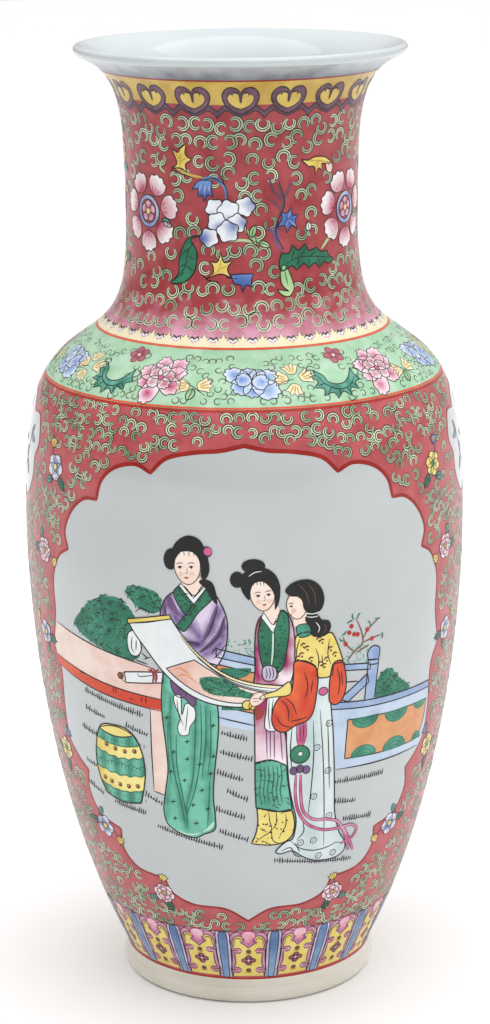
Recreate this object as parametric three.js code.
// Large baluster vase in glazed porcelain, made of the sections that a potter throws
// and lutes together with slip. Millimetres, +Z up, origin at the centre of the
// flat ring that the foot stands on.
import * as THREE from "three";

// ---- Driving dimensions ----

const SEGMENTS = 64; // facets around every turned piece
const CURVE_STEPS = 7; // straight steps along each stretch of the outline
const LIP_STEPS = 5; // straight steps around the rounded lip
const MIN_STEP = 2; // an outline point nearer than this to a section's end is dropped
const WALL = 6; // wall thickness, measured square to the outline
const SEAM = 1.5; // height of the slip seam between two sections

// Stations of the outer outline. lean is the slope outward from vertical in radians,
// below and above are the lengths of the curve's handles on each side of the station.
const WAIST = { radius: 80.8, height: 18, lean: 0.46, above: 112 };
const BELLY = { radius: 141, height: 310, lean: 0, below: 70, above: 96 };
const SHOULDER = { radius: 96.5, height: 431.5, lean: -0.94, below: 34.5, above: 24.5 };
const NECK = { radius: 73, height: 506, lean: 0, below: 43.5, above: 72.5 };
const LIP = { radius: 102.4, height: 604.25, lean: 1.16, below: 28.5 };

// The foot: a turned ring that swells a little above the surface it stands on.
const FOOT_INNER_RADIUS = 71;
const FOOT_STANDING_RADIUS = 79;
const FOOT_SWELL = [new THREE.Vector2(83.5, 1.5), new THREE.Vector2(85, 8)];
const FLOOR_UNDERSIDE = 12; // height of the recessed base above the standing ring

// Heights where one section ends and the next begins.
const LOWER_JOINT = 166;
const BELLY_JOINT = 311;
const SHOULDER_JOINT = 434;
const MOUTH_JOINT = 566;

const WHITE_GLAZE = 0xe9ecef;
const ROSE_ENAMEL = 0xbe5560;
const GREEN_ENAMEL = 0x9fd6a5;
const OCHRE_ENAMEL = 0xd9a83c;
const BARE_PASTE = 0xd9d2c4;
const SLIP = 0xe4e0d6;

// ---- Outline ----

// A point of the outline with its outward normal.
function outlinePoint(curve, t) {
  const place = curve.getPoint(t);
  const tangent = curve.getTangent(t);
  return { place, normal: new THREE.Vector2(tangent.y, -tangent.x) };
}

function direction(station) {
  return new THREE.Vector2(Math.sin(station.lean), Math.cos(station.lean));
}

function stationPoint(station) {
  return new THREE.Vector2(station.radius, station.height);
}

// The smooth curve between two stations.
function stretch(lower, upper) {
  const start = stationPoint(lower);
  const end = stationPoint(upper);
  return new THREE.CubicBezierCurve(
    start,
    start.clone().addScaledVector(direction(lower), lower.above),
    end.clone().addScaledVector(direction(upper), -upper.below),
    end
  );
}

function sampleCurve(curve) {
  const samples = [];
  for (let step = 0; step <= CURVE_STEPS; step++) {
    samples.push(outlinePoint(curve, step / CURVE_STEPS));
  }
  return samples;
}

const footCurve = new THREE.CubicBezierCurve(
  new THREE.Vector2(FOOT_STANDING_RADIUS, 0),
  FOOT_SWELL[0],
  FOOT_SWELL[1],
  stationPoint(WAIST)
);
const stations = [WAIST, BELLY, SHOULDER, NECK, LIP];
const wallSamples = stations.slice(1).flatMap((upper, index) => {
  const samples = sampleCurve(stretch(stations[index], upper));
  return index === 0 ? samples : samples.slice(1);
});
const footOutline = sampleCurve(footCurve).map((sample) => sample.place);
const outerOutline = wallSamples.map((sample) => sample.place);
const innerOutline = wallSamples.map((sample) =>
  sample.place.clone().addScaledVector(sample.normal, -WALL)
);

// Radius of an outline at a height, held constant past the outline's ends.
function radiusAt(outline, height) {
  const above = outline.findIndex((point) => point.y >= height);
  if (above === -1) return outline[outline.length - 1].x;
  if (above === 0) return outline[0].x;
  const low = outline[above - 1];
  const high = outline[above];
  const share = (height - low.y) / (high.y - low.y);
  return THREE.MathUtils.lerp(low.x, high.x, share);
}

// The stretch of an outline between two heights, with a point on each height.
function slice(outline, low, high) {
  const inside = outline.filter((point) => point.y > low + MIN_STEP && point.y < high - MIN_STEP);
  return [
    new THREE.Vector2(radiusAt(outline, low), low),
    ...inside,
    new THREE.Vector2(radiusAt(outline, high), high),
  ];
}

// The half circle that rounds the lip, from the outer wall over the top to the inner wall.
function lipArc() {
  const radius = WALL / 2;
  const { place, normal } = wallSamples[wallSamples.length - 1];
  const centre = place.clone().addScaledVector(normal, -radius);
  const start = normal.angle();
  const arc = [];
  for (let step = 0; step <= LIP_STEPS; step++) {
    const angle = start + (Math.PI * step) / LIP_STEPS;
    arc.push(new THREE.Vector2(Math.cos(angle), Math.sin(angle)).multiplyScalar(radius).add(centre));
  }
  return arc;
}

// ---- Pieces ----

const vase = new THREE.Group();
vase.name = "porcelain_vase";

// Turns a profile, listed up its outer side first, into a named piece.
function turn(name, profile, color, roughness) {
  const geometry = new THREE.LatheGeometry(profile, SEGMENTS);
  geometry.rotateX(Math.PI / 2);
  const material = new THREE.MeshStandardMaterial({ color, roughness, metalness: 0 });
  const mesh = new THREE.Mesh(geometry, material);
  mesh.name = name;
  vase.add(mesh);
}

function closed(profile) {
  return [...profile, profile[0].clone()];
}

// A ring of wall between two heights.
function wallSection(name, low, high, color, roughness = 0.12) {
  const outer = slice(outerOutline, low, high);
  const inner = slice(innerOutline, low, high).reverse();
  turn(name, closed([...outer, ...inner]), color, roughness);
}

function slipSeam(name, low) {
  const high = low + SEAM;
  const profile = [
    new THREE.Vector2(radiusAt(outerOutline, low), low),
    new THREE.Vector2(radiusAt(outerOutline, high), high),
    new THREE.Vector2(radiusAt(innerOutline, high), high),
    new THREE.Vector2(radiusAt(innerOutline, low), low),
  ];
  turn(name, closed(profile), SLIP, 0.3);
}

function footRing() {
  const profile = [
    ...slice(footOutline, 0, FLOOR_UNDERSIDE),
    new THREE.Vector2(FOOT_INNER_RADIUS, FLOOR_UNDERSIDE),
    new THREE.Vector2(FOOT_INNER_RADIUS, 0),
  ];
  turn("foot_ring", closed(profile), WHITE_GLAZE, 0.12);
}

function baseFloor() {
  const profile = [
    new THREE.Vector2(0, FLOOR_UNDERSIDE),
    ...slice(footOutline, FLOOR_UNDERSIDE, WAIST.height),
    new THREE.Vector2(0, WAIST.height),
  ];
  turn("base_floor", profile, BARE_PASTE, 0.5);
}

// The mouth ends in the rounded lip, so its wall runs up one side and down the other.
function flaredMouth() {
  const low = MOUTH_JOINT + SEAM;
  const outer = slice(outerOutline, low, LIP.height).slice(0, -1);
  const arc = lipArc();
  const inner = slice(innerOutline, low, arc[arc.length - 1].y).slice(0, -1).reverse();
  turn("flared_mouth", closed([...outer, ...arc, ...inner]), OCHRE_ENAMEL, 0.12);
}

footRing();
baseFloor();
wallSection("lower_body", WAIST.height, LOWER_JOINT, ROSE_ENAMEL);
slipSeam("lower_body_seam", LOWER_JOINT);
wallSection("belly", LOWER_JOINT + SEAM, BELLY_JOINT, ROSE_ENAMEL);
slipSeam("belly_seam", BELLY_JOINT);
wallSection("shoulder", BELLY_JOINT + SEAM, SHOULDER_JOINT, GREEN_ENAMEL);
slipSeam("shoulder_seam", SHOULDER_JOINT);
wallSection("neck", SHOULDER_JOINT + SEAM, MOUTH_JOINT, ROSE_ENAMEL);
slipSeam("mouth_seam", MOUTH_JOINT);
flaredMouth();

export default vase;
